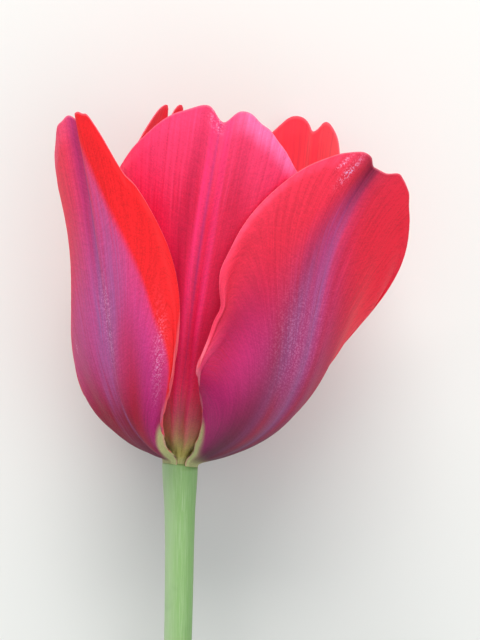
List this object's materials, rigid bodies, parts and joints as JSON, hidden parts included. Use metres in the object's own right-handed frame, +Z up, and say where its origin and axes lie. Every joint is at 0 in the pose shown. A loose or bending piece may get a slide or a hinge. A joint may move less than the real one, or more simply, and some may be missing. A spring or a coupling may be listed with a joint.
{
  "type": "tulip",
  "caption": "Cut tulip lying on its side: a half-open crimson bloom of overlapping cupped petals round a pistil and stamens, on a curved stem with a clasping leaf.",
  "frame": {"origin": "on the surface that the flower lies on, under the belly of the lowest petal", "axes": "+Y along the flower from the cut end of the stem to the bloom, +Z up from the surface, +X to the right as seen from above with the bloom at the far end"},
  "size_m": [0.0821, 0.2892, 0.0574],
  "materials": {
    "outer_petal": "satin plant tissue, plum over crimson",
    "inner_petal": "satin plant tissue, crimson",
    "stem": "pale sage green with a matt bloom",
    "leaf": "matt blue green",
    "pistil": "matt yellow green",
    "stamen": "matt purple black"
  },
  "bodies": {
    "root": {"outer_petal_left": "outer_petal", "outer_petal_right": "outer_petal", "outer_petal_back": "outer_petal", "inner_petal_front": "inner_petal", "inner_petal_left": "inner_petal", "inner_petal_right": "inner_petal", "stem": "stem", "leaf": "leaf", "pistil": "pistil", "stamens": "stamen"}
  },
  "joints": []
}
